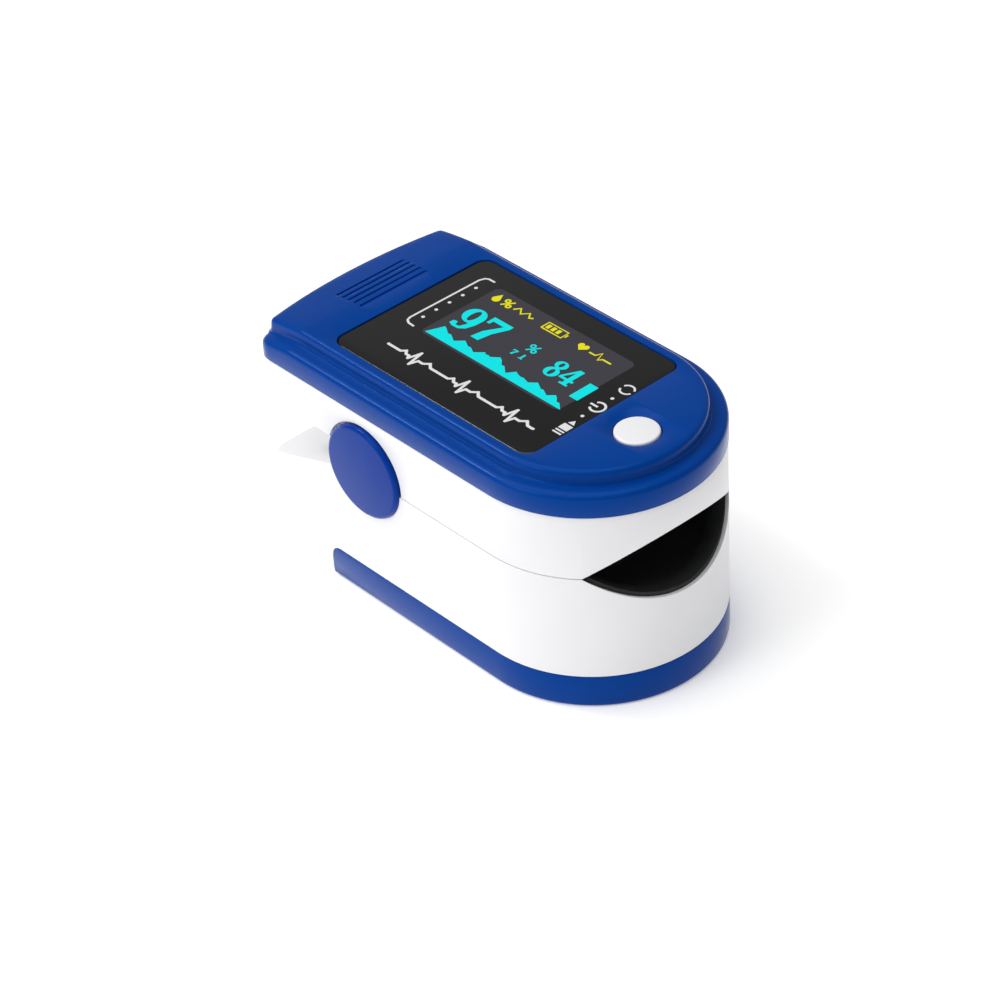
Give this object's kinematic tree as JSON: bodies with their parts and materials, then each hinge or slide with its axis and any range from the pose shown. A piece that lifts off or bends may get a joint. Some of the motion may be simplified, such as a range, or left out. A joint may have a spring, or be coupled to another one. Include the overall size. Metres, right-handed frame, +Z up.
{
  "type": "fingertip pulse oximeter",
  "caption": "Fingertip pulse oximeter: two spring-hinged shells clamp a finger, with a lit display and power button on top and a sliding battery cover below.",
  "frame": {"origin": "on the resting face under the middle of the overall box", "axes": "+X towards the finger opening, +Y towards the left-hand hinge cap, +Z up through the display"},
  "size_m": [0.0606, 0.0338, 0.0332],
  "materials": {
    "cover_blue": "satin moulded ABS",
    "lens_black": "printed gloss acrylic",
    "gasket_foam": "matte foam",
    "screen_glass": "lit display glass",
    "board_green": "solder-masked laminate",
    "chip_black": "moulded epoxy",
    "buzzer_brass": "brass disc",
    "switch_metal": "stamped steel",
    "plunger_black": "moulded nylon",
    "button_white": "satin moulded ABS",
    "screw_steel": "zinc-plated steel",
    "shell_white": "satin moulded ABS",
    "pad_silicone": "matte moulded silicone",
    "led_ceramic": "LED package",
    "window_clear": "clear moulded polycarbonate",
    "window_red": "red-tinted polycarbonate",
    "diode_dark": "photodiode package",
    "flex_amber": "polyimide flexible circuit",
    "pin_steel": "ground steel pin",
    "cap_blue": "satin moulded ABS",
    "spring_steel": "spring steel wire",
    "tray_grey": "moulded ABS",
    "cell_sleeve": "printed cell sleeve with steel ends",
    "contact_nickel": "nickel-plated steel"
  },
  "bodies": {
    "lower_half": {"lower_shell": "shell_white", "lower_finger_pad": "pad_silicone", "photodiode": "diode_dark", "sensor_window": "window_red", "sensor_board": "board_green", "flex_cable": "flex_amber", "hinge_pin": "pin_steel", "hinge_cap_left": "cap_blue", "hinge_cap_right": "cap_blue", "torsion_spring_left": "spring_steel", "torsion_spring_right": "spring_steel", "battery_tray": "tray_grey", "battery_left": "cell_sleeve", "battery_right": "cell_sleeve", "contact_plates": "contact_nickel", "contact_springs": "contact_nickel", "tray_screws": "screw_steel"},
    "upper_half": {"top_cover": "cover_blue", "display_lens": "lens_black", "display_gasket": "gasket_foam", "display_module": "screen_glass", "main_board": "board_green", "controller_chip": "chip_black", "buzzer": "buzzer_brass", "tact_switch": "switch_metal", "board_screws": "screw_steel", "upper_shell": "shell_white", "upper_finger_pad": "pad_silicone", "emitter_led": "led_ceramic", "emitter_window": "window_clear"},
    "button": {"power_button": "button_white", "switch_plunger": "plunger_black"},
    "cover": {"battery_cover": "cover_blue"}
  },
  "joints": [
    {"name": "clamp_hinge", "type": "hinge", "parent": "lower_half", "child": "upper_half", "pos_m": [-0.00885, 0, 0.02], "axis": [0, -1, 0], "range_deg": [0, 24], "stiffness_Nm_per_rad": 0.12, "springref_deg": -45.84, "deforming": ["torsion_spring_left", "torsion_spring_right", "flex_cable"]},
    {"name": "button_press", "type": "slide", "parent": "upper_half", "child": "button", "axis": [0, 0, -1], "range_m": [0, 0.0005], "stiffness_N_per_m": 800, "springref_m": -0.001},
    {"name": "cover_slide", "type": "slide", "parent": "lower_half", "child": "cover", "axis": [1, 0, 0], "range_m": [0, 0.047]}
  ]
}
